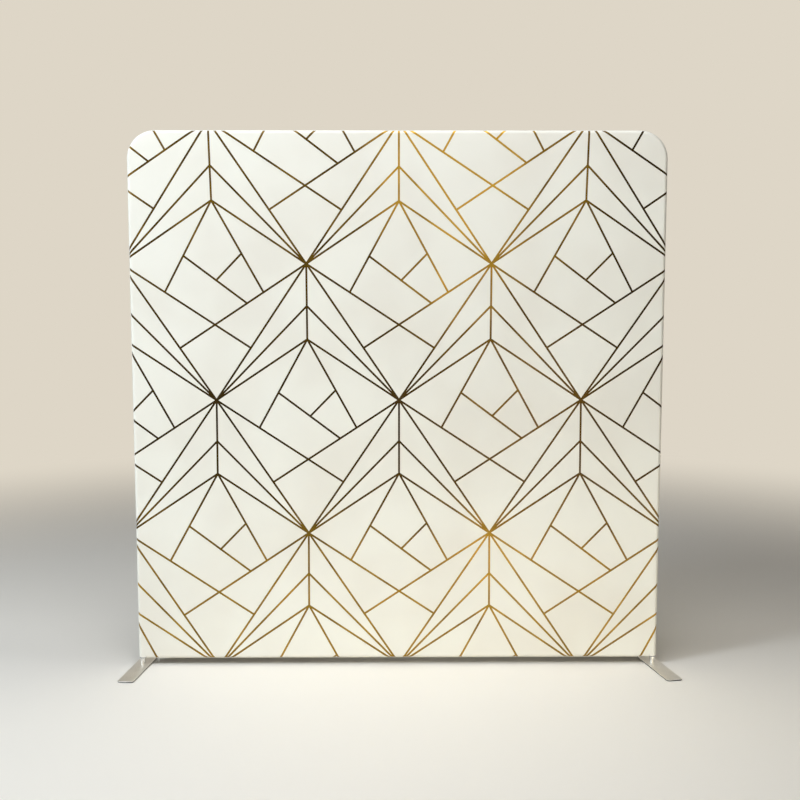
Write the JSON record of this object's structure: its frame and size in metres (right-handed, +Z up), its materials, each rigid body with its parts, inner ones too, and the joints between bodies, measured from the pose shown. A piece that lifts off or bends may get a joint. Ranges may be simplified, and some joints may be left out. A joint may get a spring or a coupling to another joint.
{
  "type": "fabric display backwall",
  "caption": "Free-standing display wall: a printed stretch cover over a snap-together tube frame with rounded top corners, on flat swivelling feet.",
  "frame": {"origin": "on the floor, midway between the two foot posts, in the middle plane of the panel", "axes": "+Z up, +X to the right seen from the front, +Y away from the viewer; the printed front faces -Y"},
  "size_m": [2.5536, 0.5022, 2.474],
  "materials": {
    "tube_aluminium": "satin anodised",
    "fitting_aluminium": "as cast, tumbled",
    "rivet_aluminium": "plain",
    "spring_steel": "blued spring steel",
    "printed_fabric": "matt knitted polyester, printed",
    "plain_fabric": "matt knitted polyester, plain",
    "zip_tape": "woven",
    "zip_coil": "satin",
    "zip_stop": "plain",
    "zip_paint": "gloss white",
    "foot_steel": "brushed, clear coated",
    "sole_rubber": "matt",
    "post_chrome": "bright plated",
    "screw_steel": "zinc plated",
    "washer_nylon": "plain",
    "button_steel": "bright plated"
  },
  "bodies": {
    "frame_and_cover": {"left_bottom_tee": "fitting_aluminium", "right_bottom_tee": "fitting_aluminium", "left_lower_upright": "tube_aluminium", "right_lower_upright": "tube_aluminium", "left_upright_coupler": "fitting_aluminium", "right_upright_coupler": "fitting_aluminium", "left_upper_upright": "tube_aluminium", "right_upper_upright": "tube_aluminium", "left_corner_side_coupler": "fitting_aluminium", "right_corner_side_coupler": "fitting_aluminium", "left_corner_tube": "tube_aluminium", "right_corner_tube": "tube_aluminium", "left_corner_top_coupler": "fitting_aluminium", "right_corner_top_coupler": "fitting_aluminium", "left_top_rail": "tube_aluminium", "top_tee": "fitting_aluminium", "right_top_rail": "tube_aluminium", "left_bottom_rail": "tube_aluminium", "bottom_tee": "fitting_aluminium", "right_bottom_rail": "tube_aluminium", "lower_pole": "tube_aluminium", "pole_coupler": "fitting_aluminium", "upper_pole": "tube_aluminium", "rivets": "rivet_aluminium", "leaf_springs": "spring_steel", "cover_front": "printed_fabric", "cover_back": "plain_fabric", "zip_tapes": "zip_tape", "zip_coils": "zip_coil", "zip_stops": "zip_stop"},
    "left_foot": {"left_foot_plate": "foot_steel", "left_foot_sole": "sole_rubber", "left_foot_post": "post_chrome", "left_foot_screw": "screw_steel", "left_foot_washer": "washer_nylon"},
    "right_foot": {"right_foot_plate": "foot_steel", "right_foot_sole": "sole_rubber", "right_foot_post": "post_chrome", "right_foot_screw": "screw_steel", "right_foot_washer": "washer_nylon"},
    "left_upright_button": {"left_upright_button": "button_steel"},
    "right_upright_button": {"right_upright_button": "button_steel"},
    "left_corner_side_button": {"left_corner_side_button": "button_steel"},
    "right_corner_side_button": {"right_corner_side_button": "button_steel"},
    "left_corner_top_button": {"left_corner_top_button": "button_steel"},
    "right_corner_top_button": {"right_corner_top_button": "button_steel"},
    "left_bottom_rail_button": {"left_bottom_rail_button": "button_steel"},
    "right_bottom_rail_button": {"right_bottom_rail_button": "button_steel"},
    "top_tee_rail_button": {"top_tee_rail_button": "button_steel"},
    "top_tee_pole_button": {"top_tee_pole_button": "button_steel"},
    "bottom_tee_rail_button": {"bottom_tee_rail_button": "button_steel"},
    "bottom_tee_pole_button": {"bottom_tee_pole_button": "button_steel"},
    "pole_button": {"pole_button": "button_steel"},
    "zip_slider": {"zip_slider": "zip_paint"},
    "zip_pull": {"zip_pull": "zip_paint"}
  },
  "joints": [
    {"name": "left_foot_swivel", "type": "hinge", "parent": "frame_and_cover", "child": "left_foot", "pos_m": [-1.2037, 0, 0.02], "axis": [0, 0, 1], "continuous": true},
    {"name": "right_foot_swivel", "type": "hinge", "parent": "frame_and_cover", "child": "right_foot", "pos_m": [1.2037, 0, 0.02], "axis": [0, 0, 1], "continuous": true},
    {"name": "left_upright_press", "type": "slide", "parent": "frame_and_cover", "child": "left_upright_button", "axis": [-1, 0, 0], "range_m": [0, 0.0046], "stiffness_N_per_m": 1500, "springref_m": -0.0005, "deforming": ["leaf_springs"]},
    {"name": "right_upright_press", "type": "slide", "parent": "frame_and_cover", "child": "right_upright_button", "axis": [1, 0, 0], "range_m": [0, 0.0046], "stiffness_N_per_m": 1500, "springref_m": -0.0005, "deforming": ["leaf_springs"]},
    {"name": "left_corner_side_press", "type": "slide", "parent": "frame_and_cover", "child": "left_corner_side_button", "axis": [-1, 0, 0], "range_m": [0, 0.0046], "stiffness_N_per_m": 1500, "springref_m": -0.0005, "deforming": ["leaf_springs"]},
    {"name": "right_corner_side_press", "type": "slide", "parent": "frame_and_cover", "child": "right_corner_side_button", "axis": [1, 0, 0], "range_m": [0, 0.0046], "stiffness_N_per_m": 1500, "springref_m": -0.0005, "deforming": ["leaf_springs"]},
    {"name": "left_corner_top_press", "type": "slide", "parent": "frame_and_cover", "child": "left_corner_top_button", "axis": [0, 0, 1], "range_m": [0, 0.0046], "stiffness_N_per_m": 1500, "springref_m": -0.0005, "deforming": ["leaf_springs"]},
    {"name": "right_corner_top_press", "type": "slide", "parent": "frame_and_cover", "child": "right_corner_top_button", "axis": [0, 0, 1], "range_m": [0, 0.0046], "stiffness_N_per_m": 1500, "springref_m": -0.0005, "deforming": ["leaf_springs"]},
    {"name": "left_bottom_rail_press", "type": "slide", "parent": "frame_and_cover", "child": "left_bottom_rail_button", "axis": [0, 0, -1], "range_m": [0, 0.0046], "stiffness_N_per_m": 1500, "springref_m": -0.0005, "deforming": ["leaf_springs"]},
    {"name": "right_bottom_rail_press", "type": "slide", "parent": "frame_and_cover", "child": "right_bottom_rail_button", "axis": [0, 0, -1], "range_m": [0, 0.0046], "stiffness_N_per_m": 1500, "springref_m": -0.0005, "deforming": ["leaf_springs"]},
    {"name": "top_tee_rail_press", "type": "slide", "parent": "frame_and_cover", "child": "top_tee_rail_button", "axis": [0, 0, 1], "range_m": [0, 0.0046], "stiffness_N_per_m": 1500, "springref_m": -0.0005, "deforming": ["leaf_springs"]},
    {"name": "top_tee_pole_press", "type": "slide", "parent": "frame_and_cover", "child": "top_tee_pole_button", "axis": [-1, 0, 0], "range_m": [0, 0.0046], "stiffness_N_per_m": 1500, "springref_m": -0.0005, "deforming": ["leaf_springs"]},
    {"name": "bottom_tee_rail_press", "type": "slide", "parent": "frame_and_cover", "child": "bottom_tee_rail_button", "axis": [0, 0, -1], "range_m": [0, 0.0046], "stiffness_N_per_m": 1500, "springref_m": -0.0005, "deforming": ["leaf_springs"]},
    {"name": "bottom_tee_pole_press", "type": "slide", "parent": "frame_and_cover", "child": "bottom_tee_pole_button", "axis": [-1, 0, 0], "range_m": [0, 0.0046], "stiffness_N_per_m": 1500, "springref_m": -0.0005, "deforming": ["leaf_springs"]},
    {"name": "pole_press", "type": "slide", "parent": "frame_and_cover", "child": "pole_button", "axis": [-1, 0, 0], "range_m": [0, 0.0046], "stiffness_N_per_m": 1500, "springref_m": -0.0005, "deforming": ["leaf_springs"]},
    {"name": "zip_slide", "type": "slide", "parent": "frame_and_cover", "child": "zip_slider", "axis": [1, 0, 0], "range_m": [0, 2.256]},
    {"name": "zip_pull_swing", "type": "hinge", "parent": "zip_slider", "child": "zip_pull", "pos_m": [-1.128, 0, 0.0286], "axis": [0, 1, 0], "range_deg": [-85, 85]}
  ]
}
